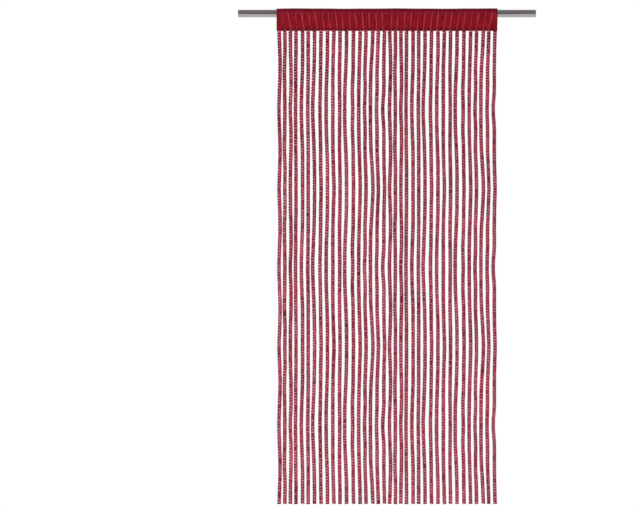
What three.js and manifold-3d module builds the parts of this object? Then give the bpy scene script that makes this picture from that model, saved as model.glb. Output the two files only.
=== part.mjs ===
// A string curtain on its rod. A cloth heading is folded over the rod and closed along its
// foot, and flat crocheted strings hang side by side from a narrow band under that foot.
// Millimetres, +Z up. X runs along the rod, the front faces -Y, and the origin is the
// middle of the rod's axis.

import * as THREE from 'three';
import { mergeVertices } from 'three/addons/utils/BufferGeometryUtils.js';
import Module from 'manifold-3d';

const wasm = await Module();
wasm.setup();

// Driving dimensions
const rod = { length: 1205, radius: 15, chamfer: 1, sides: 32 };
const curtain = { width: 894, foot: -1987 };
const cloth = { thickness: 2, overRod: 1.2, besideRod: 2 };
const pocket = { shoulder: -2, tip: -57, foot: -61, arcSteps: 8, waveSteps: 34 };
const band = { gap: 0.3, height: 9.2, thickness: 4, edge: 1 };
const string = { width: 14.6, thickness: 2.6, steps: 24, root: 2, lieBack: 3, twist: 0.28 };
const ribs = { each: 16, first: 17, pitch: 26.8, uneven: 1, halfWidth: 2, raised: 0.6, level: -38.5 };
const ribLean = { middle: 0.05, end: 0.21 };

// The strings come in two like sets of eighteen, the second set one repeat to the right.
// at is a string's distance from the first of its set. The next four columns say how far it
// strays sideways at each eighth of a wave, from the wave's start to its middle, and the
// second half of the wave mirrors the first.
const set = { first: -436.6, repeat: 447.5, count: 2 };
const wave = { eighths: 8 };
const strings = [
  { at: 0, first: 2.6, second: 4.0, third: 1.6, middle: -0.4 },
  { at: 23.3, first: 0.6, second: -1.6, third: -0.6, middle: 0 },
  { at: 45.6, first: 0.6, second: 2.6, third: 2.4, middle: -0.4 },
  { at: 68.4, first: 0, second: -1.0, third: -1.2, middle: -2.0 },
  { at: 95.2, first: 0, second: -0.6, third: -3.6, middle: -5.3 },
  { at: 117.8, first: 0, second: 0, third: -0.8, middle: -1.8 },
  { at: 143.6, first: -0.4, second: -2.2, third: -5.3, middle: -7.7 },
  { at: 170.1, first: -1.4, second: -2.0, third: -3.2, middle: -4.7 },
  { at: 195.8, first: 0, second: -2.0, third: -4.7, middle: -5.3 },
  { at: 222.3, first: -2.4, second: -4.3, third: -4.8, middle: -4.5 },
  { at: 247.0, first: -0.8, second: -2.2, third: -2.0, middle: -1.4 },
  { at: 273.2, first: -0.6, second: -3.2, third: -6.7, middle: -7.5 },
  { at: 301.5, first: -1.2, second: -1.8, third: -4.7, middle: -3.2 },
  { at: 328.4, first: -1.6, second: -4.0, third: -5.7, middle: -6.1 },
  { at: 352.1, first: -1.6, second: -4.3, third: -3.6, middle: -6.1 },
  { at: 380.1, first: -3.4, second: -8.1, third: -10.1, middle: -10.1 },
  { at: 402.1, first: -2.6, second: -5.3, third: -5.5, middle: -7.5 },
  { at: 427.1, first: -2.0, second: -3.0, third: -3.0, middle: -7.5 },
];

// Finishes
const steel = new THREE.MeshStandardMaterial({ color: 0x9a9094, roughness: 0.35, metalness: 0.9 });
const crimsonCloth = new THREE.MeshStandardMaterial({ color: 0x8c1f27, roughness: 0.7, metalness: 0 });
const crimsonYarn = new THREE.MeshStandardMaterial({ color: 0x9e2846, roughness: 0.5, metalness: 0 });

// Shared helpers
function named(name, geometry, material) {
  const mesh = new THREE.Mesh(geometry, material);
  mesh.name = name;
  return mesh;
}

// Moves each point of a geometry by a function that changes it in place.
function shaped(geometry, move) {
  const places = geometry.getAttribute('position');
  const point = new THREE.Vector3();
  for (let i = 0; i < places.count; i += 1) {
    point.fromBufferAttribute(places, i);
    move(point);
    places.setXYZ(i, point.x, point.y, point.z);
  }
  return geometry;
}

function solidFrom(geometry) {
  const bare = geometry.clone();
  bare.deleteAttribute('normal');
  bare.deleteAttribute('uv');
  const joined = mergeVertices(bare, 1e-4);
  return new wasm.Manifold(new wasm.Mesh({
    numProp: 3,
    vertProperties: joined.getAttribute('position').array,
    triVerts: new Uint32Array(joined.index.array),
  }));
}

function geometryFrom(solid) {
  const mesh = solid.getMesh();
  const geometry = new THREE.BufferGeometry();
  geometry.setAttribute('position', new THREE.BufferAttribute(mesh.vertProperties, 3));
  geometry.setIndex(new THREE.BufferAttribute(mesh.triVerts, 1));
  return geometry;
}

// A section drawn in Y and Z, run along X over the curtain's width.
function runAlongRod(section, length, steps) {
  const geometry = new THREE.ExtrudeGeometry(new THREE.Shape(section), {
    depth: length,
    steps,
    bevelEnabled: false,
  });
  const turned = new THREE.Matrix4().makeBasis(
    new THREE.Vector3(0, 1, 0),
    new THREE.Vector3(0, 0, 1),
    new THREE.Vector3(1, 0, 0),
  );
  return geometry.applyMatrix4(turned).translate(-length / 2, 0, 0);
}

// Rod: a round bar with plain ends, their rims just broken.
function rodGeometry() {
  const half = rod.length / 2;
  const inner = rod.radius - rod.chamfer;
  const profile = [
    new THREE.Vector2(0, -half),
    new THREE.Vector2(inner, -half),
    new THREE.Vector2(rod.radius, -half + rod.chamfer),
    new THREE.Vector2(rod.radius, half - rod.chamfer),
    new THREE.Vector2(inner, half),
    new THREE.Vector2(0, half),
  ];
  return new THREE.LatheGeometry(profile, rod.sides);
}

// Pocket section: an arch over the rod whose legs run straight down to a tip between the
// two layers. grow is how far the outline lies outside the pocket's inner face.
function pocketSection(grow, foot) {
  const halfWidth = rod.radius + cloth.besideRod + grow;
  const rise = rod.radius + cloth.overRod + grow - pocket.shoulder;
  const outline = foot.map(([y, z]) => new THREE.Vector2(-y, z)).reverse();
  for (let i = 0; i <= pocket.arcSteps; i += 1) {
    const angle = Math.PI * (1 - i / pocket.arcSteps);
    outline.push(new THREE.Vector2(
      halfWidth * Math.cos(angle),
      pocket.shoulder + rise * Math.sin(angle),
    ));
  }
  outline.push(...foot.map(([y, z]) => new THREE.Vector2(y, z)));
  return outline;
}

// How far along a leg a height lies: 0 at the shoulder, 1 at the tip between the layers.
function downLeg(z) {
  return THREE.MathUtils.clamp((pocket.shoulder - z) / (pocket.shoulder - pocket.tip), 0, 1);
}

// The cloth's own unevenness: it lifts off the rod here and there, and each leg bellies a
// little between the rod and the foot.
function uneven(point) {
  const lift = 0.6 + 0.4 * Math.sin(point.x / 59 + 1) + 0.2 * Math.sin(point.x / 21);
  const belly = 0.7 + 0.6 * Math.sin(point.x / 33 + Math.sign(point.y));
  const overRod = Math.max(0, point.z - pocket.shoulder) / rod.radius;
  point.z += lift * overRod;
  point.y += Math.sign(point.y) * belly * Math.sin(Math.PI * downLeg(point.z));
}

// Rib lines along the heading at the ribs' own level, from left to right: a foot, a crest
// and a foot for each, with the cloth's two ends. The ribs mirror about the middle.
function ribColumns() {
  const right = [];
  for (let i = 0; i < ribs.each; i += 1) {
    const crest = ribs.first + ribs.pitch * i + ribs.uneven * (i % 2 ? -1 : 1);
    right.push(
      { x: crest - ribs.halfWidth, raised: 0 },
      { x: crest, raised: ribs.raised },
      { x: crest + ribs.halfWidth, raised: 0 },
    );
  }
  const left = right.map(({ x, raised }) => ({ x: -x, raised })).reverse();
  const end = curtain.width / 2;
  return [{ x: -end, raised: 0, plumb: true }, ...left, ...right, { x: end, raised: 0, plumb: true }];
}

// The rib at x leans outwards as it rises, more so towards the curtain's ends.
function leanAt(x) {
  const share = Math.abs(x) / (curtain.width / 2);
  return Math.sign(x) * THREE.MathUtils.lerp(ribLean.middle, ribLean.end, share);
}

// Heading: the sleeve's outer form with its ribs, less the pocket.
function headingGeometry() {
  const columns = ribColumns();
  const steps = columns.length - 1;
  const legSlope = (z) => (rod.radius + cloth.besideRod) * (1 - downLeg(z)) + cloth.thickness;
  const legLevels = [-20, -38];
  const outerFoot = [...legLevels.map((z) => [legSlope(z), z]), [cloth.thickness, pocket.tip],
    [cloth.thickness, pocket.foot]];
  const innerFoot = legLevels.map((z) => [legSlope(z) - cloth.thickness, z]);
  const outer = runAlongRod(pocketSection(cloth.thickness, outerFoot), curtain.width, steps);
  shaped(outer, (point) => {
    const column = columns[Math.round((point.x / curtain.width + 0.5) * steps)];
    const sideways = column.plumb ? 0 : leanAt(column.x) * (point.z - ribs.level);
    const outward = new THREE.Vector2(point.y, Math.max(0, point.z - pocket.shoulder)).normalize();
    point.x = column.x + sideways;
    uneven(point);
    if (point.z > pocket.foot + 1) {
      point.y += column.raised * outward.x;
      point.z += column.raised * outward.y;
    }
  });
  const tip = [new THREE.Vector2(0, pocket.tip)];
  const bore = runAlongRod([...pocketSection(0, innerFoot), ...tip], curtain.width, pocket.waveSteps);
  shaped(bore, uneven);
  const past = 1 + 2 / curtain.width;
  return geometryFrom(solidFrom(outer).subtract(solidFrom(bore.scale(past, 1, 1))));
}

// How far a string strays sideways at a step, from its row of the table.
function strayAt(row, step) {
  const eighth = step % wave.eighths;
  const fromStart = Math.min(eighth, wave.eighths - eighth);
  return [0, row.first, row.second, row.third, row.middle][fromStart];
}

// One string: a flat ribbon with four sides. It turns a little about its own line and
// wanders back and forth in depth on its way down.
function stringGeometry(row, number) {
  const top = pocket.foot - band.gap - band.height + string.root;
  const length = top - curtain.foot;
  const home = set.first + row.at + set.repeat * Math.floor(number / strings.length);
  const ribbon = new THREE.BoxGeometry(string.width, string.thickness, length, 1, 1, string.steps);
  return shaped(ribbon, (point) => {
    const down = 0.5 - point.z / length;
    const settled = Math.min(1, down * string.steps);
    const turn = string.twist * settled * Math.sin(2 * Math.PI * (1.3 * down + 0.29 * number));
    const back = string.lieBack * settled * Math.sin(2 * Math.PI * (0.8 * down + 0.37 * number));
    const { x, y } = point;
    point.x = home + strayAt(row, Math.round(down * string.steps)) + x * Math.cos(turn) - y * Math.sin(turn);
    point.y = back + x * Math.sin(turn) + y * Math.cos(turn);
    point.z = top - down * length;
  });
}

// Band and strings: the narrow band under the heading's foot holds every string's root.
function stringsGeometry() {
  const high = pocket.foot - band.gap;
  const low = high - band.height;
  const half = band.thickness / 2;
  const section = [
    new THREE.Vector2(-half, high),
    new THREE.Vector2(-half, low + band.edge),
    new THREE.Vector2(-half + band.edge, low),
    new THREE.Vector2(half - band.edge, low),
    new THREE.Vector2(half, low + band.edge),
    new THREE.Vector2(half, high),
  ];
  let joined = solidFrom(runAlongRod(section, curtain.width, 1));
  for (let number = 0; number < strings.length * set.count; number += 1) {
    joined = joined.add(solidFrom(stringGeometry(strings[number % strings.length], number)));
  }
  return geometryFrom(joined);
}

const group = new THREE.Group();
const bar = named('rod', rodGeometry(), steel);
bar.rotation.z = -Math.PI / 2;
group.add(bar);
group.add(named('heading', headingGeometry(), crimsonCloth));
group.add(named('strings', stringsGeometry(), crimsonYarn));

export default group;
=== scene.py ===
"""A string curtain on its rod, hung in front of plain white.

A round steel pole carries a sleeve of crimson warp-knitted cloth. In the sleeve's lower edge
a narrow firm band holds thirty-six flat crocheted strings, each with a small square of silver
film in every repeat. Metres, +Z up: X runs along the pole, the front faces -Y, and the
origin is the middle of the pole's axis.
"""

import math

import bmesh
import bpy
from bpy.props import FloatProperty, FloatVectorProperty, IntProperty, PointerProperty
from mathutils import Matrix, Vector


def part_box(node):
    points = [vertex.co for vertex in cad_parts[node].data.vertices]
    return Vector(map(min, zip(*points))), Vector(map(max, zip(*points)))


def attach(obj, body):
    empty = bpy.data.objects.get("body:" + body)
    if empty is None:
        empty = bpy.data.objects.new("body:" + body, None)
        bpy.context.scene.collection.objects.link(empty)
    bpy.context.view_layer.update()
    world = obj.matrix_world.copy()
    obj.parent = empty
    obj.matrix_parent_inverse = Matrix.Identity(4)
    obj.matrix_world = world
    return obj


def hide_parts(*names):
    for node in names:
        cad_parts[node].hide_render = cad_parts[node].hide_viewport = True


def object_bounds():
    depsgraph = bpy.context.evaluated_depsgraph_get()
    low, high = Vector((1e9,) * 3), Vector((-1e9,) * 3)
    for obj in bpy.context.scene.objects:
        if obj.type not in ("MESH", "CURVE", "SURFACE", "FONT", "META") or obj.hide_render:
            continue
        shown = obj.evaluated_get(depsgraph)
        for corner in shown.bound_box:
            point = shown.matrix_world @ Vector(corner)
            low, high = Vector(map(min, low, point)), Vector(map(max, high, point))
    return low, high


bl_info = {
    "name": "String Curtain",
    "version": (1, 0, 0),
    "blender": (4, 5, 0),
    "location": "View3D > Sidebar > Curtain",
    "description": "Makes a crocheted string curtain on its pole, piece by piece",
    "category": "Add Mesh",
}

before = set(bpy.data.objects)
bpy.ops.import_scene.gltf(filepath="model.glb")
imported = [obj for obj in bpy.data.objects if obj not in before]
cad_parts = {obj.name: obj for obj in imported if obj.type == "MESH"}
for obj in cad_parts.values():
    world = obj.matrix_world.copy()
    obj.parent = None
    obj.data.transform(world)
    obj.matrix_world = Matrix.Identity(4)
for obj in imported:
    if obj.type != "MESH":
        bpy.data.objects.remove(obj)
cad_low, cad_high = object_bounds()
rod_low, rod_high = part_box("rod")
heading_low, heading_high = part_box("heading")
strings_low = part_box("strings")[0]

MM = 0.001
BODY = "root"

# Points this close together count as one.
CLOSE = 0.01 * MM

# The heading's section: an arch over the pole from the shoulder up, and a leg down each
# side to the tip where the two layers meet, with the foot a little lower.
CLOTH = 2 * MM
SHOULDER = -2 * MM
TIP = -57 * MM
FOOT = -61 * MM
OVER_ROD = 1.2 * MM
BESIDE_ROD = 2 * MM

# Ribs of the heading, from the middle outwards and mirrored, at their own level.
RIBS_EACH_SIDE = 16
RIB_FIRST = 17 * MM
RIB_PITCH = 26.8 * MM
RIB_UNEVEN = 1 * MM
RIB_LEVEL = -38.5 * MM
RIB_LEAN_MIDDLE = 0.05
RIB_LEAN_END = 0.21

# The band under the foot, and how far a string's root goes up into it. The cloth's two layers
# reach down over the band to the hem, as the real heading's lower edge does.
HEM = -70 * MM
BAND_GAP = 0.3 * MM
BAND_HEIGHT = 9.2 * MM
BAND_THICKNESS = 4 * MM
BAND_LOW = FOOT - BAND_GAP - BAND_HEIGHT
ROOT = 2 * MM

# The strings hang in two like sets of eighteen, the second set one repeat to the right. Each
# row says, in millimetres, how far a string hangs from the first of its set and how far it
# strays sideways at each eighth of a wave, from the wave's start to its middle. It also lies
# back and turns, by so many radians, in slower waves.
SET_FIRST = -436.6 * MM
SET_REPEAT = 447.5 * MM
SETS = 2
STEPS = 24
EIGHTHS = 8
LIE_BACK = 3 * MM
LIE_BACK_WAVES = 0.8
TWIST = 0.28
TWIST_WAVES = 1.3
STRINGS = (
    (0, 2.6, 4.0, 1.6, -0.4),
    (23.3, 0.6, -1.6, -0.6, 0),
    (45.6, 0.6, 2.6, 2.4, -0.4),
    (68.4, 0, -1.0, -1.2, -2.0),
    (95.2, 0, -0.6, -3.6, -5.3),
    (117.8, 0, 0, -0.8, -1.8),
    (143.6, -0.4, -2.2, -5.3, -7.7),
    (170.1, -1.4, -2.0, -3.2, -4.7),
    (195.8, 0, -2.0, -4.7, -5.3),
    (222.3, -2.4, -4.3, -4.8, -4.5),
    (247.0, -0.8, -2.2, -2.0, -1.4),
    (273.2, -0.6, -3.2, -6.7, -7.5),
    (301.5, -1.2, -1.8, -4.7, -3.2),
    (328.4, -1.6, -4.0, -5.7, -6.1),
    (352.1, -1.6, -4.3, -3.6, -6.1),
    (380.1, -3.4, -8.1, -10.1, -10.1),
    (402.1, -2.6, -5.3, -5.5, -7.5),
    (427.1, -2.0, -3.0, -3.0, -7.5),
)

# A stitch and a square of film each have a UV map of their own, with the middle at (0.5, 0.5)
# and 10 mm to one unit. All other yarn is at (0, 0).
UV_MIDDLE = 0.5
UV_UNIT = 10 * MM

# Nearly all of a noise's values lie in this span.
NOISE_SPAN = {"From Min": 0.3, "From Max": 0.7}

# Sockets of the Mix node when it mixes colours, which share their names with its others.
MIX_A = 6
MIX_B = 7
MIX_RESULT = 2


def linear_colour(code):
    """A colour such as #9e2137 as linear red, green and blue with full alpha."""
    channels = []
    for start in (1, 3, 5):
        value = int(code[start:start + 2], 16) / 255
        low = value / 12.92
        high = ((value + 0.055) / 1.055) ** 2.4
        channels.append(low if value <= 0.04045 else high)
    return (*channels, 1.0)


def colour_property(name, description, code):
    """A colour that a user can change, with its default given as a hex value."""
    return FloatVectorProperty(
        name=name, description=description, default=linear_colour(code),
        subtype="COLOR", size=4, min=0, max=1,
    )


def length_property(name, description, default):
    """A length in metres that a user can change."""
    return FloatProperty(
        name=name, description=description, default=default,
        min=0, precision=4, subtype="DISTANCE", unit="LENGTH",
    )


class CurtainSizes(bpy.types.PropertyGroup):
    """Sizes of the pole, the heading and the strings."""
    rod_length: length_property(
        "Rod length", "From one end of the pole to the other", rod_high.x - rod_low.x)
    rod_radius: length_property(
        "Rod radius", "Half the thickness of the pole", (rod_high.z - rod_low.z) / 2)
    rod_wall: length_property("Rod wall", "Thickness of the steel tube", 1.2 * MM)
    curtain_width: length_property(
        "Curtain width", "Width of the heading", heading_high.x - heading_low.x)
    string_foot: length_property(
        "String foot", "How far the strings' ends hang below the pole", -strings_low.z)
    stitch_repeat: length_property("Repeat", "Length of one repeat of the crochet", 11.4 * MM)
    edge_cord: length_property("Edge cord", "Thickness of a scalloped edge cord", 2.7 * MM)
    edge_notch: length_property(
        "Edge notch", "From a string's middle to the edge cord at a notch", 5.3 * MM)
    edge_bulge: length_property(
        "Edge bulge", "How much further out the edge cord runs at a scallop", 1.8 * MM)
    wale: length_property("Wale", "From a string's middle to a row of stitches", 3.4 * MM)
    rib_raised: length_property("Rib height", "How far a rib stands off the heading", 0.6 * MM)
    stitches_in_repeat: IntProperty(
        name="Stitches", description="Stitches of one row in a repeat", default=4, min=1, max=8)


class CurtainColours(bpy.types.PropertyGroup):
    """Colours of the yarn, the cloth, the film and the steel."""
    # Deep yarn is painted shade between the stitches; lit yarn and the crown are painted highlights,
    # on an edge cord and on a stitch.
    yarn_in_shade: colour_property("Yarn, deep", "Yarn between the stitches", "#580718")
    yarn: colour_property("Yarn", "Yarn on the face of a string", "#b2082c")
    yarn_lit: colour_property("Yarn, lit", "Yarn on the outside of an edge cord", "#e03062")
    crown_highlight: colour_property("Crown", "Crown of a stitch, where it shines", "#ff92ac")
    # The three film colours are a painted reflection: bright where a square would face the eye, grey
    # and dark where it would be turned.
    film: colour_property("Film", "Silver film where it lies square to the eye", "#ffc6d8")
    film_reflection_grey: colour_property("Film, grey", "Silver film that is a little turned", "#e07c9c")
    film_reflection_dark: colour_property("Film, dark", "Silver film where it is turned away", "#501224")
    cloth: colour_property("Cloth", "Face of the heading", "#8c0a13")
    # The dark cloth is painted shade at the heading's fold and foot.
    cloth_shaded: colour_property("Cloth, dark", "Heading at its fold and its foot", "#7a0a17")
    rib: colour_property("Rib", "Rib lines of the heading", "#b84450")
    steel: colour_property("Steel", "Brushed steel of the pole", "#aea8ac")
    floor: colour_property("Floor", "Floor and surroundings", "#ffffff")


class StudioLight(bpy.types.PropertyGroup):
    """Strengths of the studio's light."""
    key: FloatProperty(
        name="Key lamp", description="Power of the lamp in front on the left",
        default=222, min=0, subtype="POWER", unit="POWER")
    fill: FloatProperty(
        name="Fill lamp", description="Power of the lamp in front on the right",
        default=107, min=0, subtype="POWER", unit="POWER")
    above: FloatProperty(
        name="Above", description="Light of the surroundings overhead",
        default=0.42, min=0, max=2)
    level: FloatProperty(
        name="Level", description="Light of the surroundings at eye level",
        default=0.18, min=0, max=2)
    below: FloatProperty(
        name="Below", description="Light of the floor", default=1.0, min=0, max=2)


# Shared helpers for modelling


def clear_selection():
    """Leaves edit mode and deselects every object, the frame's nodes among them."""
    if bpy.context.object and bpy.context.object.mode != "OBJECT":
        bpy.ops.object.mode_set(mode="OBJECT")
    bpy.ops.object.select_all(action="DESELECT")


def select_only(*objects):
    """Selects these objects and nothing else, with the first one active."""
    clear_selection()
    for obj in objects:
        obj.select_set(True)
    bpy.context.view_layer.objects.active = objects[0]


def named_primitive(name):
    """Names the object that was just added or joined, and puts its place into its mesh."""
    obj = bpy.context.object
    obj.name = name
    obj.data.name = name
    bpy.ops.object.transform_apply(location=True, rotation=True, scale=True)
    return obj


def pick(kind, test):
    """In edit mode, selects only the verts, edges or faces whose points all pass the test."""
    bpy.ops.mesh.select_mode(type=kind)
    bpy.ops.mesh.select_all(action="DESELECT")
    body = bmesh.from_edit_mesh(bpy.context.object.data)
    parts = {"VERT": body.verts, "EDGE": body.edges, "FACE": body.faces}[kind]
    for part in parts:
        points = [part] if kind == "VERT" else part.verts
        part.select_set(all(test(point.co) for point in points))
    body.select_flush_mode()
    bmesh.update_edit_mesh(bpy.context.object.data)


def pick_long_edges(shortest):
    """In edit mode, selects only the edges that run along X for at least this far."""
    bpy.ops.mesh.select_mode(type="EDGE")
    bpy.ops.mesh.select_all(action="DESELECT")
    body = bmesh.from_edit_mesh(bpy.context.object.data)
    for edge in body.edges:
        edge.select_set(abs(edge.verts[0].co.x - edge.verts[1].co.x) >= shortest)
    bmesh.update_edit_mesh(bpy.context.object.data)


def apply_modifier(obj, name, kind, **settings):
    """Adds a modifier with its settings and applies it."""
    select_only(obj)
    modifier = obj.modifiers.new(name, kind)
    for setting, value in settings.items():
        setattr(modifier, setting, value)
    bpy.ops.object.modifier_apply(modifier=name)


def note_on_points(obj, name, rule):
    """Stores a number on every point of a mesh, worked out from the point's place."""
    attribute = obj.data.attributes.new(name, "FLOAT", "POINT")
    values = [rule(vert.co) for vert in obj.data.vertices]
    attribute.data.foreach_set("value", values)


def map_from_middle(obj, middle, test=lambda centre: True):
    """Lays out a UV map around a point: along X and Y on the faces that pass, else at zero."""
    for face in obj.data.polygons:
        mapped = test(face.center)
        for number in face.loop_indices:
            place = obj.data.vertices[obj.data.loops[number].vertex_index].co
            u = UV_MIDDLE + (place.x - middle[0]) / UV_UNIT
            v = UV_MIDDLE + (place.y - middle[1]) / UV_UNIT
            obj.data.uv_layers[0].data[number].uv = (u, v) if mapped else (0, 0)


def leave_unmapped(obj):
    """Puts all of a part's UV map at zero, where no painted crown highlight is drawn."""
    for corner in obj.data.uv_layers[0].data:
        corner.uv = (0, 0)


def face_outwards(obj):
    """Merges doubled points and turns every face outwards."""
    select_only(obj)
    bpy.ops.object.mode_set(mode="EDIT")
    bpy.ops.mesh.select_all(action="SELECT")
    bpy.ops.mesh.remove_doubles(threshold=0.001 * MM)
    bpy.ops.mesh.normals_make_consistent(inside=False)
    bpy.ops.object.mode_set(mode="OBJECT")


def hand_over(obj, slot, *nodes):
    """Ties a finished piece to the frame: its body and the nodes it stands for; the slot is not used.
    """
    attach(obj, BODY)
    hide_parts(*nodes)


# Materials


def add_node(tree, kind, settings=None, values=None, links=None, stops=None):
    """Adds a shader node with its settings, its sockets' values and links, and a ramp's stops."""
    node = tree.nodes.new("ShaderNode" + kind)
    for name, value in (settings or {}).items():
        setattr(node, name, value)
    for name, value in (values or {}).items():
        node.inputs[name].default_value = value
    for name, source in (links or {}).items():
        tree.links.new(source, node.inputs[name])
    for number, (place, colour) in enumerate(stops or ()):
        elements = node.color_ramp.elements
        element = elements[number] if number < 2 else elements.new(place)
        element.position = place
        element.color = colour
    return node


def new_material(name):
    """An empty node material with its output."""
    material = bpy.data.materials.new(name)
    material.use_nodes = True
    material.node_tree.nodes.clear()
    output = add_node(material.node_tree, "OutputMaterial")
    return material, material.node_tree, output.inputs["Surface"]


def crocheted_yarn(name, colours, laid):
    """Twisted polyester yarn whose smooth filaments shine, with a painted highlight on each stitch's
    crown and painted shade between.
    """
    material, tree, surface = new_material(name)
    coordinates = add_node(tree, "TexCoord")
    place = coordinates.outputs["Object"]
    # A painted light level on each point, from painted shade at 0 to a painted highlight near 1.
    tone = add_node(tree, "Attribute", {"attribute_name": "tone"})
    # A painted highlight on a stitch's crown: a pale drop 2 mm long down the string and 3 mm across
    # it.
    drop = add_node(tree, "Mapping", {"vector_type": "TEXTURE"},
                    {"Location": (UV_MIDDLE, UV_MIDDLE, 0), "Scale": (0.098, 0.15, 1)},
                    {"Vector": coordinates.outputs["UV"]})
    from_crown = add_node(tree, "VectorMath", {"operation": "LENGTH"},
                          links={"Vector": drop.outputs["Vector"]})
    crown_highlight = add_node(tree, "MapRange", values={"From Min": 0.5, "From Max": 1.1,
                                               "To Min": 1, "To Max": 0.1},
                     links={"Value": from_crown.outputs["Value"]})
    lit = add_node(tree, "Math", {"operation": "MAXIMUM"},
                   links={0: tone.outputs["Fac"], 1: crown_highlight.outputs["Result"]})
    # The painted light grows and fades every 6 mm or so, as the yarn lies tighter or looser and
    # shines unevenly.
    lie = add_node(tree, "TexNoise", values={"Scale": 160, "Detail": 0}, links={"Vector": place})
    lie_range = add_node(tree, "MapRange", values={"From Min": 0.35, "From Max": 0.65,
                                                   "To Min": 0.3, "To Max": 2.05},
                         links={"Value": lie.outputs["Fac"]})
    shine = add_node(tree, "Math", {"operation": "MULTIPLY"},
                     links={0: lit.outputs["Value"], 1: lie_range.outputs["Result"]})
    # The ramp runs from painted shade through the yarn's colour to painted highlights on cords and
    # crowns.
    shade = add_node(tree, "ValToRGB", links={"Fac": shine.outputs["Value"]}, stops=(
        (0.0, colours.yarn_in_shade), (0.68, colours.crown_highlight), (0.3, colours.yarn),
        (0.52, colours.yarn_lit)))
    # Dye takes a little differently from string to string and along each one.
    dye = add_node(tree, "TexNoise", values={"Scale": 9, "Detail": 3}, links={"Vector": place})
    dye_range = add_node(tree, "MapRange", values={**NOISE_SPAN, "To Min": 0.8, "To Max": 1.25},
                         links={"Value": dye.outputs["Fac"]})
    long_way = add_node(tree, "Mapping", values={"Scale": (45, 45, 6)}, links={"Vector": place})
    cast = add_node(tree, "TexNoise", values={"Scale": 1, "Detail": 2},
                    links={"Vector": long_way.outputs["Vector"]})
    cast_range = add_node(tree, "MapRange",
                          values={**NOISE_SPAN, "To Min": 0.491, "To Max": 0.504},
                          links={"Value": cast.outputs["Fac"]})
    dyed = add_node(tree, "HueSaturation",
                    links={"Color": shade.outputs["Color"], "Value": dye_range.outputs["Result"],
                           "Hue": cast_range.outputs["Result"]})
    # Plies 1.3 mm apart lie across the yarn's own run, over filaments about 0.3 mm across.
    plies = add_node(tree, "TexWave", {"bands_direction": laid},
                     {"Scale": 483 if laid == "DIAGONAL" else 242, "Distortion": 1.5, "Detail": 1},
                     {"Vector": place})
    stretched = add_node(tree, "Mapping", values={"Scale": (1, 1, 0.25)}, links={"Vector": place})
    filaments = add_node(tree, "TexNoise", values={"Scale": 3000, "Detail": 1},
                         links={"Vector": stretched.outputs["Vector"]})
    # Painted shade darkens the grooves between the plies.
    groove_shade = add_node(tree, "MapRange", values={"From Max": 0.5, "To Min": 0.6},
                       links={"Value": plies.outputs["Fac"]})
    # The strings' ends are sealed with heat, which leaves them dark and fades out over 4 mm.
    height = add_node(tree, "SeparateXYZ", links={"Vector": place})
    sealed = add_node(tree, "MapRange",
                      values={"From Min": strings_low.z + 2 * MM, "From Max": strings_low.z + 6 * MM,
                              "To Min": 0.3},
                      links={"Value": height.outputs["Z"]})
    shaded = add_node(tree, "Math", {"operation": "MULTIPLY"},
                      links={0: groove_shade.outputs["Result"], 1: sealed.outputs["Result"]})
    grooved = add_node(tree, "HueSaturation", links={"Color": dyed.outputs["Color"],
                                                     "Value": shaded.outputs["Value"]})
    ply_bump = add_node(tree, "Bump", values={"Strength": 0.5, "Distance": 0.2 * MM},
                        links={"Height": plies.outputs["Fac"]})
    bump = add_node(tree, "Bump", values={"Strength": 0.4, "Distance": 0.08 * MM},
                    links={"Height": filaments.outputs["Fac"], "Normal": ply_bump.outputs["Normal"]})
    shader = add_node(
        tree, "BsdfPrincipled",
        values={"Roughness": 0.5, "IOR": 1.57, "Specular IOR Level": 0.15,
                "Sheen Weight": 0.4, "Sheen Roughness": 0.3,
                "Sheen Tint": linear_colour("#f84078")},
        links={"Base Color": grooved.outputs["Color"], "Normal": bump.outputs["Normal"]})
    tree.links.new(shader.outputs["BSDF"], surface)
    return material


def silver_film(colours):
    """Metallised film slit into flat tape, with a painted reflection: bright, and dark where it would
    be turned away.
    """
    material, tree, surface = new_material("metallised_silver_film")
    coordinates = add_node(tree, "TexCoord")
    place = coordinates.outputs["Object"]
    # The noise runs from 25 mm down to 3 mm, so each square has a tilt of its own in its bump and a
    # painted reflection to match.
    tilt = add_node(tree, "TexNoise", values={"Scale": 40, "Detail": 3, "Roughness": 0.75},
                    links={"Vector": place})
    shine = add_node(tree, "ValToRGB", links={"Fac": tilt.outputs["Fac"]}, stops=(
        (0.38, colours.film_reflection_dark), (0.53, colours.film), (0.45, colours.film_reflection_grey)))
    # Painted shade darkens each square at its upper and lower edge, over its last 0.7 mm, where it
    # dips into the crochet.
    middle = add_node(tree, "SeparateXYZ", links={"Vector": coordinates.outputs["UV"]})
    along = add_node(tree, "Math", {"operation": "SUBTRACT"}, {1: UV_MIDDLE},
                     {0: middle.outputs["X"]})
    from_middle = add_node(tree, "Math", {"operation": "ABSOLUTE"},
                           links={0: along.outputs["Value"]})
    rim = add_node(tree, "MapRange", values={"From Min": 0.12, "From Max": 0.19,
                                             "To Min": 1, "To Max": 0.25},
                   links={"Value": from_middle.outputs["Value"]})
    rim_shaded = add_node(tree, "HueSaturation", links={"Color": shine.outputs["Color"],
                                                    "Value": rim.outputs["Result"]})
    bump = add_node(tree, "Bump", values={"Strength": 0.6, "Distance": 0.4 * MM},
                    links={"Height": tilt.outputs["Fac"]})
    # The film's lacquer and fine creases scatter most of the light, so it is part metallic.
    shader = add_node(tree, "BsdfPrincipled", values={"Metallic": 0.25, "Roughness": 0.3},
                      links={"Base Color": rim_shaded.outputs["Color"], "Normal": bump.outputs["Normal"]})
    tree.links.new(shader.outputs["BSDF"], surface)
    return material


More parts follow.
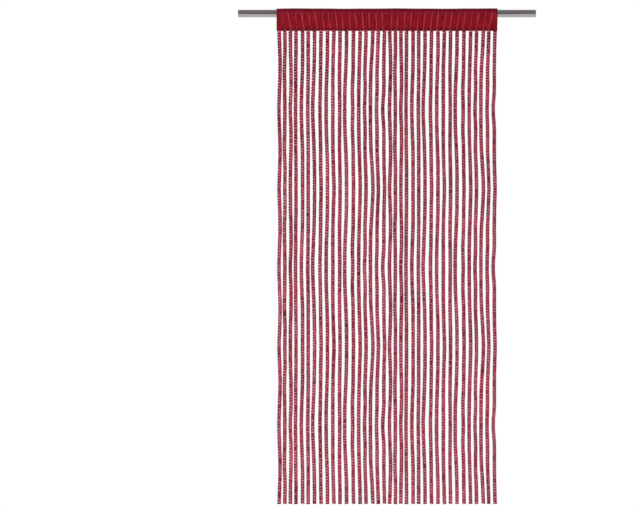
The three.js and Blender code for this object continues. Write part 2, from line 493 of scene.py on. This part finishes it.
def knitted_cloth(colours):
    """Warp-knitted polyester: fine columns of loops with a soft shine and paler rib lines."""
    material, tree, surface = new_material("warp_knitted_polyester")
    coordinates = add_node(tree, "TexCoord")
    place = coordinates.outputs["Object"]
    weave = coordinates.outputs["UV"]
    # From the foot to the fold, in painted light and shade: painted shade at the foot, the face, a
    # painted highlight on the crease at the shoulder between two painted shadows, and the cloth on
    # the pole in a bluer painted light, with painted shade again at the fold.
    split = add_node(tree, "SeparateXYZ", links={"Vector": place})
    height = add_node(tree, "MapRange", values={"From Min": HEM - MM, "From Max": 20 * MM},
                      links={"Value": split.outputs["Z"]})
    crease = linear_colour("#ae3a46")
    shadow = linear_colour("#7e0812")
    mauve_painted_light = linear_colour("#901228")
    painted_light_bands = add_node(tree, "ValToRGB", links={"Fac": height.outputs["Result"]}, stops=(
        (0.0, colours.cloth_shaded), (1.0, colours.cloth_shaded), (0.09, colours.cloth_shaded),
        (0.165, colours.cloth), (0.71, colours.cloth), (0.735, shadow), (0.76, shadow),
        (0.78, crease), (0.80, shadow), (0.85, mauve_painted_light), (0.93, mauve_painted_light)))
    rib = add_node(tree, "Attribute", {"attribute_name": "rib"})
    ribbed = add_node(tree, "Mix", {"data_type": "RGBA"}, {MIX_B: colours.rib},
                      {"Factor": rib.outputs["Fac"], MIX_A: painted_light_bands.outputs["Color"]})
    # Painted sheen runs down the cloth with its ribs in light and dark streaks about 7 mm wide, and
    # soft patches of another cast lie across them.
    streak_stretch = add_node(tree, "Mapping", values={"Scale": (150, 26, 1)}, links={"Vector": weave})
    streaks = add_node(tree, "TexNoise", values={"Scale": 1, "Detail": 3},
                       links={"Vector": streak_stretch.outputs["Vector"]})
    streak_range = add_node(tree, "MapRange",
                            values={**NOISE_SPAN, "To Min": 0.6, "To Max": 1.45},
                            links={"Value": streaks.outputs["Fac"]})
    patches = add_node(tree, "TexNoise", values={"Scale": 38, "Detail": 2}, links={"Vector": place})
    patch_range = add_node(tree, "MapRange",
                           values={**NOISE_SPAN, "To Min": 0.4935, "To Max": 0.4995},
                           links={"Value": patches.outputs["Fac"]})
    toned = add_node(tree, "HueSaturation",
                     links={"Color": ribbed.outputs[MIX_RESULT], "Hue": patch_range.outputs["Result"],
                            "Value": streak_range.outputs["Result"]})
    # Columns of loops 1.5 mm apart and courses 1.1 mm apart, with painted shade in the hollows
    # between the loops.
    columns = add_node(tree, "TexWave", {"bands_direction": "X"}, {"Scale": 209},
                       {"Vector": weave})
    courses = add_node(tree, "TexWave", {"bands_direction": "Y"}, {"Scale": 285, "Distortion": 0.6},
                       {"Vector": weave})
    loops = add_node(tree, "Math", {"operation": "MULTIPLY"},
                     links={0: columns.outputs["Fac"], 1: courses.outputs["Fac"]})
    hollow_shade = add_node(tree, "MapRange", values={"From Max": 0.4, "To Min": 0.72, "To Max": 1.06},
                       links={"Value": loops.outputs["Value"]})
    # The side edges and the foot between two strings are darker, as if turned from the light.
    turned = add_node(tree, "Attribute", {"attribute_name": "turned"})
    turned_range = add_node(tree, "MapRange", values={"To Min": 1, "To Max": 0.55},
                            links={"Value": turned.outputs["Fac"]})
    shade = add_node(tree, "Math", {"operation": "MULTIPLY"},
                     links={0: hollow_shade.outputs["Result"], 1: turned_range.outputs["Result"]})
    knitted = add_node(tree, "HueSaturation", links={"Color": toned.outputs["Color"],
                                                     "Value": shade.outputs["Value"]})
    bump = add_node(tree, "Bump", values={"Strength": 0.5, "Distance": 0.3 * MM},
                    links={"Height": loops.outputs["Value"]})
    shader = add_node(
        tree, "BsdfPrincipled",
        values={"Roughness": 0.7, "IOR": 1.55, "Specular IOR Level": 0.08,
                "Sheen Weight": 0.3, "Sheen Roughness": 0.25,
                "Sheen Tint": linear_colour("#e83050")},
        links={"Base Color": knitted.outputs["Color"], "Normal": bump.outputs["Normal"]})
    tree.links.new(shader.outputs["BSDF"], surface)
    return material


def brushed_steel(colours):
    """Steel tube brushed along its length: fine streaks along X and a satin reflection."""
    material, tree, surface = new_material("brushed_steel_tube")
    place = add_node(tree, "TexCoord").outputs["Object"]
    # Brush marks 0.4 mm apart and some 40 mm long.
    stretched = add_node(tree, "Mapping", values={"Scale": (25, 2500, 2500)},
                         links={"Vector": place})
    marks = add_node(tree, "TexNoise", values={"Scale": 1, "Detail": 2},
                     links={"Vector": stretched.outputs["Vector"]})
    roughness = add_node(tree, "MapRange", values={"To Min": 0.14, "To Max": 0.26},
                         links={"Value": marks.outputs["Fac"]})
    smudges = add_node(tree, "TexNoise", values={"Scale": 18, "Detail": 3}, links={"Vector": place})
    smudge_range = add_node(tree, "MapRange", values={"To Min": 0.88, "To Max": 1.08},
                            links={"Value": smudges.outputs["Fac"]})
    colour = add_node(tree, "HueSaturation", values={"Color": colours.steel},
                      links={"Value": smudge_range.outputs["Result"]})
    bump = add_node(tree, "Bump", values={"Strength": 0.15, "Distance": 0.05 * MM},
                    links={"Height": marks.outputs["Fac"]})
    shader = add_node(tree, "BsdfPrincipled", values={"Metallic": 1},
                      links={"Base Color": colour.outputs["Color"],
                             "Roughness": roughness.outputs["Result"],
                             "Normal": bump.outputs["Normal"]})
    tree.links.new(shader.outputs["BSDF"], surface)
    return material


def matt_white_floor(colours, strength):
    """Matt white board lit from beneath, as on a light table, so that it shows no shadow."""
    material, tree, surface = new_material("matt_white_light_table")
    shader = add_node(tree, "Emission", values={"Color": colours.floor, "Strength": strength})
    tree.links.new(shader.outputs["Emission"], surface)
    return material


# Rod


def rod_tube(sizes):
    """A straight steel tube with broken rims, open from end to end."""
    clear_selection()
    bpy.ops.mesh.primitive_cylinder_add(
        vertices=64, radius=sizes.rod_radius, depth=sizes.rod_length,
        rotation=(0, math.pi / 2, 0))
    tube = named_primitive("rod_tube")
    half = sizes.rod_length / 2
    rim = 0.5 * MM
    bpy.ops.object.mode_set(mode="EDIT")
    pick("EDGE", lambda place: abs(place.x) > half - rim)
    bpy.ops.mesh.bevel(offset=rim, segments=2, affect="EDGES")
    pick("FACE", lambda place: abs(place.x) > half - CLOSE)
    bpy.ops.mesh.inset(thickness=sizes.rod_wall - rim)
    bpy.ops.mesh.bridge_edge_loops()
    bpy.ops.object.mode_set(mode="OBJECT")
    face_outwards(tube)
    bpy.ops.object.shade_smooth_by_angle(angle=math.radians(30))
    return tube


class CURTAIN_OT_rod(bpy.types.Operator):
    """Make the steel pole"""
    bl_idname = "curtain.rod"
    bl_label = "Rod"
    bl_options = {"REGISTER", "UNDO"}

    def execute(self, context):
        tube = rod_tube(context.scene.curtain_sizes)
        tube.data.materials.append(brushed_steel(context.scene.curtain_colours))
        hand_over(tube, "rod_steel", "rod")
        return {"FINISHED"}


# Strings


def edge_cord(sizes, name, side, bulges):
    """One repeat of an edge cord along X, pushed out by a share of the bulge at each quarter."""
    clear_selection()
    repeat = sizes.stitch_repeat
    bpy.ops.mesh.primitive_cylinder_add(
        vertices=4, radius=sizes.edge_cord / 2, depth=repeat, end_fill_type="NOTHING",
        location=(repeat / 2, 0, 0), rotation=(0, math.pi / 2, 0))
    cord = named_primitive(name)
    quarters = len(bulges) - 1
    bpy.ops.object.mode_set(mode="EDIT")
    pick_long_edges(repeat / 2)
    bpy.ops.mesh.subdivide(number_cuts=quarters - 1)
    for quarter, bulge in enumerate(bulges):
        level = repeat * quarter / quarters
        pick("VERT", lambda place: abs(place.x - level) < 0.1 * MM)
        out = side * (sizes.edge_notch + bulge * sizes.edge_bulge)
        bpy.ops.transform.translate(value=(0, out, 0))
    bpy.ops.object.mode_set(mode="OBJECT")
    # The cord is drawn taut beside the film and has a painted highlight there, and painted shade
    # beside the float.
    shine = 0.31
    note_on_points(cord, "tone", lambda place: shine - shine * (
        math.cos(2 * math.pi * place.x / repeat)))
    leave_unmapped(cord)
    return cord


def stitch_rows(sizes):
    """Two rows of stitches for one repeat, each stitch a drop that narrows inwards."""
    clear_selection()
    gap = sizes.stitch_repeat / sizes.stitches_in_repeat
    length = gap * 0.56
    width = 2.1 * MM
    height = 1.9 * MM
    under_float = 0.085
    bpy.ops.mesh.primitive_cone_add(
        vertices=3, radius1=1, radius2=0, depth=1, end_fill_type="NOTHING",
        location=(gap / 2, sizes.wale, height / 2), rotation=(0, 0, math.pi),
        scale=(length, width, height))
    stitches = named_primitive("stitches")
    apply_modifier(stitches, "Back half", "MIRROR", use_axis=(False, False, True))
    # Painted light: each stitch is paler at its tips, front and back, and in painted shade round its
    # middle.
    note_on_points(stitches, "tone", lambda place: 0.3 if abs(place.z) > height / 2 else 0.1)
    map_from_middle(stitches, (gap / 2, sizes.wale))
    apply_modifier(stitches, "Row", "ARRAY", count=sizes.stitches_in_repeat,
                   use_relative_offset=False, use_constant_offset=True,
                   constant_offset_displace=(gap, 0, 0))
    # The crowns beside a float are partly under it, so their painted highlight is moved partly off
    # the stitch; those beside the film keep it whole.
    for face in stitches.data.polygons:
        if abs(face.center.x - sizes.stitch_repeat / 2) > sizes.stitch_repeat / 4:
            for number in face.loop_indices:
                stitches.data.uv_layers[0].data[number].uv.x += under_float
    apply_modifier(stitches, "Other row", "MIRROR", use_axis=(False, True, False),
                   use_mirror_merge=False)
    return stitches


def web_with_film(sizes):
    """The ribbon's middle for one repeat: a flat square of film between two bulging floats."""
    clear_selection()
    repeat = sizes.stitch_repeat
    half_width = 6 * MM
    half_flat = 0.6 * MM
    bulge = 2.0
    narrow = 0.72

    def on_float(place):
        return abs(place.x - repeat / 2) > repeat * 0.45

    def at_side(place):
        return abs(place.y) > half_width * 0.8

    bpy.ops.mesh.primitive_cylinder_add(
        vertices=6, radius=half_width, depth=repeat, end_fill_type="NOTHING",
        location=(repeat / 2, 0, 0), rotation=(0, math.pi / 2, 0))
    web = named_primitive("web")
    bpy.ops.object.mode_set(mode="EDIT")
    bpy.ops.mesh.select_all(action="SELECT")
    bpy.ops.transform.resize(value=(1, 1, half_flat / (half_width * math.sin(math.pi / 3))))
    pick_long_edges(repeat / 2)
    bpy.ops.mesh.subdivide(number_cuts=2)
    pick("VERT", on_float)
    bpy.ops.transform.resize(value=(1, 1, bulge))
    pick("VERT", lambda place: not at_side(place))
    bpy.ops.transform.resize(value=(1, narrow, 1))
    bpy.ops.object.mode_set(mode="OBJECT")

    def tone(place):
        """Painted shade round the film and at a float's sides, paler on the float and beside the
        film.
        """
        if at_side(place):
            return 0 if on_float(place) else 0.2
        return 0.13 if on_float(place) else 0.06

    note_on_points(web, "tone", tone)
    map_from_middle(web, (repeat / 2, 0), lambda middle: (
        abs(middle.x - repeat / 2) < MM and abs(middle.y) < MM))
    return web


def mark_film(web, film_slot):
    """Gives the flat squares in the web's middle to the film, and leaves them unsmoothed."""
    middle = max(vert.co.x for vert in web.data.vertices) / 2
    for face in web.data.polygons:
        film = abs(face.center.x - middle) < MM and abs(face.center.y) < MM
        face.material_index = film_slot if film else 0
        face.use_smooth = not film


def crocheted_ribbon(sizes, colours, count):
    """A straight ribbon of many repeats, lying along X with its front up."""
    web = web_with_film(sizes)
    left = edge_cord(sizes, "left_cord", -1, (1, 0.77, 0, 0.77, 1))
    right = edge_cord(sizes, "right_cord", 1, (0, 0.77, 1, 0.77, 0))
    stitches = stitch_rows(sizes)
    float_yarn = crocheted_yarn("polyester_float_yarn", colours, "Z")
    cord_yarn = crocheted_yarn("polyester_edge_yarn", colours, "DIAGONAL")
    web.data.materials.append(float_yarn)
    web.data.materials.append(silver_film(colours))
    mark_film(web, 1)
    for part in (left, right, stitches):
        part.data.materials.append(cord_yarn)
        select_only(part)
        bpy.ops.object.shade_smooth()
    select_only(web, left, right, stitches)
    bpy.ops.object.join()
    web.name = "ribbon"
    apply_modifier(web, "Repeats", "ARRAY", count=count,
                   use_relative_offset=False, use_constant_offset=True,
                   constant_offset_displace=(sizes.stitch_repeat, 0, 0),
                   use_merge_vertices=True, merge_threshold=CLOSE)
    face_outwards(web)
    return web


def string_homes():
    """Where each string leaves the band, from left to right."""
    return [SET_FIRST + row[0] * MM + SET_REPEAT * turn for turn in range(SETS) for row in STRINGS]


def string_length(sizes):
    """From a string's root in the band to its end."""
    return BAND_LOW + ROOT + sizes.string_foot


def stray(row, step):
    """How far a string strays sideways at a step of its way down."""
    eighth = step % EIGHTHS
    from_start = min(eighth, EIGHTHS - eighth)
    return (0, *row[1:])[from_start] * MM


def guide_line(row, number, length):
    """The line that a string follows, lying along X, with the string's turn as its tilt."""
    clear_selection()
    bpy.ops.curve.primitive_bezier_curve_add()
    guide = bpy.context.object
    bpy.ops.object.transform_apply(location=True, rotation=True, scale=True)
    guide.data.twist_mode = "Z_UP"
    guide.data.resolution_u = 6
    points = guide.data.splines[0].bezier_points
    points.add(STEPS + 1 - len(points))
    for step, point in enumerate(points):
        down = step / STEPS
        settled = min(1, step)
        lie = math.sin(2 * math.pi * (LIE_BACK_WAVES * down + 0.37 * number))
        turn = math.sin(2 * math.pi * (TWIST_WAVES * down + 0.29 * number))
        point.co = (down * length, stray(row, step), -LIE_BACK * settled * lie)
        point.handle_left_type = "AUTO"
        point.handle_right_type = "AUTO"
        point.tilt = -TWIST * settled * turn
    return guide


def hang_string(ribbon, sizes, row, number):
    """Cuts a copy of the ribbon to length, lays it along its guide line and hangs it up."""
    name = f"string_{number + 1:02d}"
    top = BAND_LOW + ROOT
    length = string_length(sizes)
    string = ribbon.copy()
    string.data = ribbon.data.copy()
    string.name = name
    string.data.name = name
    bpy.context.collection.objects.link(string)
    # Each string starts at another place in the repeat.
    first = sizes.stitch_repeat * (0.618 * number % 1)
    select_only(string)
    bpy.ops.object.mode_set(mode="EDIT")
    for cut, side in ((first, "clear_inner"), (first + length, "clear_outer")):
        bpy.ops.mesh.select_all(action="SELECT")
        bpy.ops.mesh.bisect(plane_co=(cut, 0, 0), plane_no=(1, 0, 0), **{side: True})
    bpy.ops.mesh.select_all(action="SELECT")
    bpy.ops.mesh.fill_holes(sides=0)
    bpy.ops.mesh.select_all(action="SELECT")
    bpy.ops.transform.translate(value=(-first, 0, 0))
    bpy.ops.object.mode_set(mode="OBJECT")
    guide = guide_line(row, number, length)
    apply_modifier(string, "Hang", "CURVE", object=guide, deform_axis="POS_X")
    bpy.data.objects.remove(guide)
    string.matrix_world = Matrix((
        (0, 1, 0, string_homes()[number]),
        (0, 0, -1, 0),
        (-1, 0, 0, top),
        (0, 0, 0, 1),
    ))
    bpy.ops.object.transform_apply(location=True, rotation=True, scale=True)
    return string


class CURTAIN_OT_strings(bpy.types.Operator):
    """Crochet one ribbon and hang thirty-six copies of it"""
    bl_idname = "curtain.strings"
    bl_label = "Strings"
    bl_options = {"REGISTER", "UNDO"}

    def execute(self, context):
        sizes = context.scene.curtain_sizes
        # One repeat more than a string needs, since each is cut at another place in its repeat.
        count = math.ceil(string_length(sizes) / sizes.stitch_repeat) + 1
        ribbon = crocheted_ribbon(sizes, context.scene.curtain_colours, count)
        for number in range(SETS * len(STRINGS)):
            string = hang_string(ribbon, sizes, STRINGS[number % len(STRINGS)], number)
            hand_over(string, "string_yarn", "strings")
        bpy.data.objects.remove(ribbon)
        return {"FINISHED"}


# Heading


def down_leg(height):
    """How far along a leg a height lies: 0 at the shoulder, 1 at the tip."""
    return min(1, max(0, (SHOULDER - height) / (SHOULDER - TIP)))


def uneven(x, y, z):
    """The cloth's own unevenness: it lifts off the pole and bellies between pole and foot."""
    # The waves are given in millimetres.
    along = x / MM
    side = math.copysign(1, y)
    lift = (1.6 + 0.4 * math.sin(along / 59 + 1) + 0.2 * math.sin(along / 21)) * MM
    belly = (0.7 + 0.6 * math.sin(along / 33 + side)) * MM
    over_rod = max(0, z - SHOULDER) / (15 * MM)
    z += lift * over_rod
    y += side * belly * math.sin(math.pi * down_leg(z))
    return y, z


def over_fold(height):
    """How much of a rib is left at a height: all of it on the legs, little over the pole."""
    return min(1, max(0.15, (5 * MM - height) / (12 * MM)))


def rib_columns(width):
    """The heading's columns from left to right: place, rib height share, panel share, number."""
    # A rib's own columns: how many millimetres from its crest, and how high.
    across = (-3.4, -2.1, -1.1, 0, 1.1, 2.1, 3.4)
    raised = (0, 0.3, 0.9, 1, 0.9, 0.3, 0)
    right = []
    last = 0
    for rib in range(RIBS_EACH_SIDE + 1):
        if rib == RIBS_EACH_SIDE:
            foot = width / 2
        else:
            crest = RIB_FIRST + RIB_PITCH * rib + RIB_UNEVEN * (-1 if rib % 2 else 1)
            foot = crest + across[0] * MM
        # Two columns lie between the middle and the first rib, and four between two ribs.
        steps = 3 if rib == 0 else 5
        for step in range(1, steps):
            share = step / steps
            from_rib = share / 2 + 0.5 if rib == 0 else share
            right.append((last + (foot - last) * share, 0, math.sin(math.pi * from_rib), rib))
        if rib < RIBS_EACH_SIDE:
            right.extend((crest + x * MM, up, 0, rib) for x, up in zip(across, raised))
            last = crest + across[-1] * MM
    right.append((width / 2, 0, 0, RIBS_EACH_SIDE))
    left = [(-x, up, panel, -number) for x, up, panel, number in reversed(right)]
    return left + [(0, 0, 1, 0)] + right


def section_rows(sizes):
    """Places down the section from the front hem over the pole to the back hem."""
    # Heights down a leg in millimetres, and angles round the pole in degrees.
    legs = (-70, -68.8, -65.5, -61, -57, -53, -48, -43, -37.5, -32, -26, -20, -14, -8)
    angles = (0, 4.6, 8.1, 11.7, 20, 30, 42, 54, 66, 78)
    half = sizes.rod_radius + BESIDE_ROD
    rise = sizes.rod_radius + OVER_ROD + CLOTH - SHOULDER
    front = [(-(half * (1 - down_leg(z * MM)) + CLOTH), z * MM) for z in legs]
    for angle in angles:
        turn = math.radians(angle)
        front.append((-(half + CLOTH) * math.cos(turn), SHOULDER + rise * math.sin(turn)))
    back = [(-y, z) for y, z in reversed(front)]
    return front + [(0, SHOULDER + rise)] + back


def heading_point(sizes, column, section):
    """Place of one point of the heading's outer face."""
    x, up, panel, number = column
    y, z = section
    out = Vector((y, max(0, z - SHOULDER))).normalized()
    half = sizes.curtain_width / 2
    lean = RIB_LEAN_MIDDLE + (RIB_LEAN_END - RIB_LEAN_MIDDLE) * min(1, abs(x) / half)
    plumb = min(1, max(0, (half - abs(x)) / RIB_PITCH))
    sideways = math.copysign(1, x) * lean * plumb * (z - RIB_LEVEL)
    y, z = uneven(x, y, z)
    hanging = math.sin(math.pi * min(1, max(0, (z - FOOT) / (16 * MM - FOOT))))
    fullness = (0.45 + 0.45 * math.sin(2.4 * number)) * MM * panel * hanging
    crease = 0.3 * MM * math.exp(-((z - 0.8 * MM) / (1.2 * MM)) ** 2)
    shown = over_fold(z) if z > HEM + MM else 0
    push = sizes.rib_raised * up * shown + fullness + crease
    return x + sideways, y + push * out.x, z + push * out.y


def turned_away(sizes, x, z):
    """How far the cloth is shaded: at its side edges and at its foot between strings."""
    edge = (abs(x) - sizes.curtain_width / 2) / (4 * MM) + 1
    from_string = min(abs(x - home) for home in string_homes())
    between = min(1, (from_string - 5 * MM) / (5 * MM)) * min(1, (FOOT - z) / (3 * MM))
    return max(0, edge, between if z < FOOT else 0)


def heading_sleeve(sizes):
    """The sleeve: one sheet bent over the pole and down both sides, with its ribs knitted in."""
    clear_selection()
    columns = rib_columns(sizes.curtain_width)
    rows = section_rows(sizes)
    across = len(columns) - 1
    down = len(rows) - 1
    bpy.ops.mesh.primitive_grid_add(x_subdivisions=across, y_subdivisions=down, size=1)
    sleeve = named_primitive("heading_sleeve")
    lengths = [0]
    for first, second in zip(rows, rows[1:]):
        lengths.append(lengths[-1] + math.dist(first, second))
    numbers = []
    for vert in sleeve.data.vertices:
        numbers.append((round((vert.co.x + 0.5) * across), round((vert.co.y + 0.5) * down)))
    ribs = []
    for vert, (column, row) in zip(sleeve.data.vertices, numbers):
        vert.co = heading_point(sizes, columns[column], rows[row])
        strength = 0.68 + 0.3 * math.sin(3.1 * columns[column][3])
        ribs.append(columns[column][1] * over_fold(vert.co.z) * strength)
    attribute = sleeve.data.attributes.new("rib", "FLOAT", "POINT")
    attribute.data.foreach_set("value", ribs)
    note_on_points(sleeve, "turned", lambda place: turned_away(sizes, place.x, place.z))
    # The pattern follows the cloth: metres along the pole and metres along the section.
    for loop, corner in zip(sleeve.data.loops, sleeve.data.uv_layers[0].data):
        column, row = numbers[loop.vertex_index]
        corner.uv = (columns[column][0], lengths[row])
    return sleeve, lengths[-1]


class CURTAIN_OT_heading(bpy.types.Operator):
    """Fold the heading over the pole"""
    bl_idname = "curtain.heading"
    bl_label = "Heading"
    bl_options = {"REGISTER", "UNDO"}

    def execute(self, context):
        sizes = context.scene.curtain_sizes
        sleeve, cut = heading_sleeve(sizes)
        face_outwards(sleeve)
        # The two layers meet below the tip, so each is made 0.1 mm thinner to stay clear.
        apply_modifier(sleeve, "Thickness", "SOLIDIFY", thickness=CLOTH - 0.1 * MM, offset=-1)
        bpy.ops.object.shade_smooth()
        sleeve.data.materials.append(knitted_cloth(context.scene.curtain_colours))
        hand_over(sleeve, "heading_cloth", "heading")
        return {"FINISHED"}


# Band


def band_strip(sizes):
    """The tape between the cloth's layers that holds the strings, its lower edges rounded."""
    clear_selection()
    high = FOOT + 0.8 * MM
    middle = (high + BAND_LOW) / 2
    inside = 0.6 * MM
    bpy.ops.mesh.primitive_cube_add(
        size=1, location=(0, 0, middle),
        scale=(sizes.curtain_width, BAND_THICKNESS - 2 * inside, high - BAND_LOW))
    strip = named_primitive("band_strip")
    bpy.ops.object.mode_set(mode="EDIT")
    pick("EDGE", lambda place: place.z < middle)
    bpy.ops.mesh.bevel(offset=0.8 * MM, segments=3, affect="EDGES")
    bpy.ops.object.mode_set(mode="OBJECT")
    # The band is drawn a little into painted shade, as it lies between the cloth's layers.
    note_on_points(strip, "tone", lambda place: 0.16)
    leave_unmapped(strip)
    return strip


def root_loops():
    """Three upright loops of yarn at the root of each string, drawn as small ellipsoids."""
    clear_selection()
    half_sizes = (1.5 * MM, 2.9 * MM, 3.4 * MM)
    spacing = 4.2 * MM
    level = BAND_LOW + 1.4 * MM
    bpy.ops.mesh.primitive_uv_sphere_add(segments=8, ring_count=5, radius=1)
    loop = named_primitive("loop")
    bpy.ops.object.mode_set(mode="EDIT")
    bpy.ops.mesh.select_all(action="SELECT")
    bpy.ops.transform.resize(value=half_sizes)
    bpy.ops.object.mode_set(mode="OBJECT")
    # Painted light: each loop is paler on its front and back, and in painted shade at its sides.
    note_on_points(loop, "tone", lambda place: 0.12 + 0.4 * abs(place.y) / half_sizes[1])
    leave_unmapped(loop)
    copies = []
    for home in string_homes():
        for shift in (-spacing, 0, spacing):
            copy = bpy.data.objects.new("loop", loop.data.copy())
            copy.location = (home + shift, 0, level)
            bpy.context.collection.objects.link(copy)
            copies.append(copy)
    bpy.data.objects.remove(loop)
    select_only(*copies)
    bpy.ops.object.join()
    loops = named_primitive("band_loops")
    bpy.ops.object.shade_smooth()
    return loops


class CURTAIN_OT_band(bpy.types.Operator):
    """Make the band that holds the strings"""
    bl_idname = "curtain.band"
    bl_label = "Band"
    bl_options = {"REGISTER", "UNDO"}

    def execute(self, context):
        sizes = context.scene.curtain_sizes
        yarn = crocheted_yarn("polyester_band_yarn", context.scene.curtain_colours, "X")
        for piece in (band_strip(sizes), root_loops()):
            piece.data.materials.append(yarn)
            hand_over(piece, "string_yarn", "strings")
        return {"FINISHED"}


# Stage


def lamp(name, place, aim, size, power):
    """A square soft lamp that shines from its place towards a point."""
    clear_selection()
    bpy.ops.object.light_add(type="AREA", location=place)
    light = bpy.context.object
    light.name = name
    light.data.size = size
    light.data.energy = power
    light.rotation_euler = (Vector(aim) - Vector(place)).to_track_quat("-Z", "Y").to_euler()
    light.visible_camera = False
    return light


def surroundings(studio, colours):
    """White to the eye, with less light from all round than from the floor."""
    world = bpy.data.worlds.new("white_studio")
    world.use_nodes = True
    tree = world.node_tree
    tree.nodes.clear()
    direction = add_node(tree, "TexCoord").outputs["Generated"]
    split = add_node(tree, "SeparateXYZ", links={"Vector": direction})
    level = (studio.level, studio.level, studio.level, 1)
    above = (studio.above, studio.above, studio.above, 1)
    ramp = add_node(tree, "ValToRGB", links={"Fac": split.outputs["Z"]}, stops=(
        (0, level), (1, above)))
    seen = add_node(tree, "LightPath").outputs["Is Camera Ray"]
    shown = add_node(tree, "Mix", {"data_type": "RGBA"}, {MIX_B: colours.floor},
                     {"Factor": seen, MIX_A: ramp.outputs["Color"]})
    background = add_node(tree, "Background", links={"Color": shown.outputs[MIX_RESULT]})
    output = add_node(tree, "OutputWorld")
    tree.links.new(background.outputs["Background"], output.inputs["Surface"])
    bpy.context.scene.world = world


def photograph_camera():
    """The photograph's view: square on, from far enough away to show hardly any perspective."""
    frame_width = 2.592
    middle = (-0.271, -0.982)
    lens = 120
    sensor = 36
    clear_selection()
    bpy.ops.object.camera_add(location=(middle[0], -frame_width * lens / sensor, middle[1]),
                              rotation=(math.pi / 2, 0, 0))
    camera = bpy.context.object
    camera.data.lens = lens
    camera.data.sensor_width = sensor
    bpy.context.scene.camera = camera


class CURTAIN_OT_stage(bpy.types.Operator):
    """Set up the floor, the light and the camera"""
    bl_idname = "curtain.stage"
    bl_label = "Stage"
    bl_options = {"REGISTER", "UNDO"}

    def execute(self, context):
        studio = context.scene.curtain_light
        colours = context.scene.curtain_colours
        clear_selection()
        bpy.ops.mesh.primitive_plane_add(size=8.2, location=(0, 0, cad_low.z - 40 * MM))
        floor = named_primitive("floor")
        floor.data.materials.append(matt_white_floor(colours, studio.below))
        middle = (0, 0, (cad_low.z + cad_high.z) / 2)
        lamp("key_lamp", (-5.0, -4.0, -0.6), middle, 2.0, studio.key)
        lamp("fill_lamp", (5.0, -4.5, -1.4), middle, 2.0, studio.fill)
        surroundings(studio, colours)
        photograph_camera()
        context.scene.view_settings.view_transform = "Standard"
        return {"FINISHED"}


class CURTAIN_PT_pieces(bpy.types.Panel):
    """Lists the curtain's pieces, sizes, colours and light"""
    bl_idname = "CURTAIN_PT_pieces"
    bl_label = "String Curtain"
    bl_space_type = "VIEW_3D"
    bl_region_type = "UI"
    bl_category = "Curtain"

    def draw(self, context):
        for operator in OPERATORS:
            self.layout.operator(operator.bl_idname)
        for group in (context.scene.curtain_sizes, context.scene.curtain_colours,
                      context.scene.curtain_light):
            box = self.layout.box()
            for name in group.__annotations__:
                box.prop(group, name)


GROUPS = (CurtainSizes, CurtainColours, StudioLight)
OPERATORS = (
    CURTAIN_OT_rod,
    CURTAIN_OT_strings,
    CURTAIN_OT_band,
    CURTAIN_OT_heading,
    CURTAIN_OT_stage,
)


def register():
    for item in (*GROUPS, *OPERATORS, CURTAIN_PT_pieces):
        bpy.utils.register_class(item)
    bpy.types.Scene.curtain_sizes = PointerProperty(type=CurtainSizes)
    bpy.types.Scene.curtain_colours = PointerProperty(type=CurtainColours)
    bpy.types.Scene.curtain_light = PointerProperty(type=StudioLight)


def unregister():
    del bpy.types.Scene.curtain_light
    del bpy.types.Scene.curtain_colours
    del bpy.types.Scene.curtain_sizes
    for item in reversed((*GROUPS, *OPERATORS, CURTAIN_PT_pieces)):
        bpy.utils.unregister_class(item)


def main():
    """Makes every piece in order."""
    register()
    bpy.ops.curtain.rod()
    bpy.ops.curtain.strings()
    bpy.ops.curtain.band()
    bpy.ops.curtain.heading()
    bpy.ops.curtain.stage()


if __name__ == "__main__":
    main()
